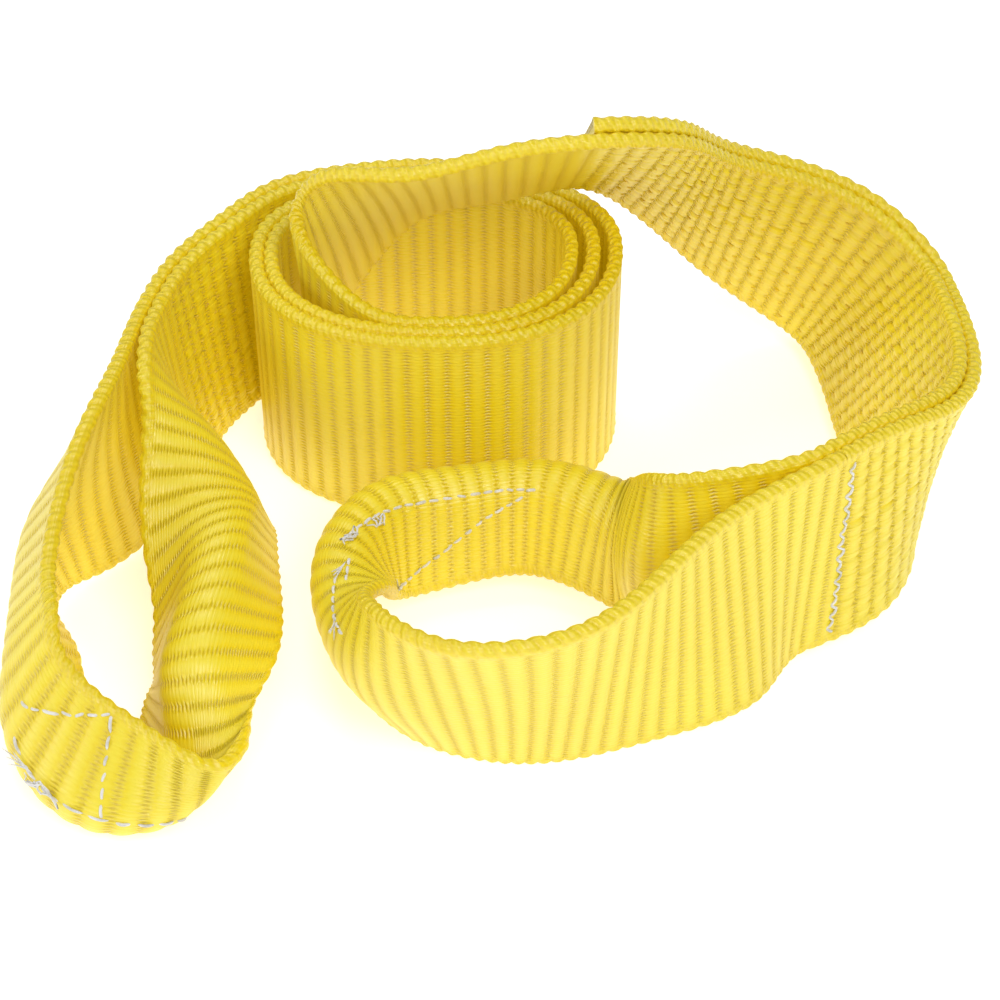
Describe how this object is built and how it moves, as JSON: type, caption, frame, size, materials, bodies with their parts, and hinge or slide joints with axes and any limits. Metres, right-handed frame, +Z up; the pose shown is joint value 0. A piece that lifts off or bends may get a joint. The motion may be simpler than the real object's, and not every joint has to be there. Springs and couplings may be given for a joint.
{
  "type": "flat web sling",
  "caption": "Flat woven lifting strap with a twisted, folded and sewn eye at each end, its middle rolled up and standing on edge.",
  "frame": {"origin": "under the middle of the whole sling, on the surface that it stands on", "axes": "+Z up, across the webbing; +X from the eye that lies beside the roll towards the bend of the other arm; -Y towards the tips of the eyes"},
  "size_m": [0.2999, 0.2484, 0.1372],
  "materials": {
    "yellow_webbing": "heavy woven polyester, ribbed across, slight sheen",
    "white_thread": "thick sewing thread, slightly soiled",
    "yellow_thread": "thick sewing thread"
  },
  "bodies": {
    "root": {"left_arm_webbing": "yellow_webbing", "rolled_webbing": "yellow_webbing", "right_arm_webbing": "yellow_webbing", "left_lap_end": "yellow_webbing", "right_lap_end": "yellow_webbing", "left_throat_seam": "white_thread", "right_throat_seam": "white_thread", "left_lap_stitching": "yellow_thread", "right_lap_stitching": "yellow_thread"},
    "left_eye": {"left_eye_webbing": "yellow_webbing", "left_tip_stitching": "white_thread"},
    "right_eye": {"right_eye_webbing": "yellow_webbing", "right_tip_stitching": "white_thread"}
  },
  "joints": [
    {"name": "left_eye_swing", "type": "hinge", "parent": "root", "child": "left_eye", "pos_m": [-0.11043, 0.04023, 0], "axis": [0, 0, 1], "range_deg": [-20, 0]},
    {"name": "right_eye_swing", "type": "hinge", "parent": "root", "child": "right_eye", "pos_m": [0.09226, -0.03845, 0], "axis": [0, 0, 1], "range_deg": [0, 15]}
  ]
}
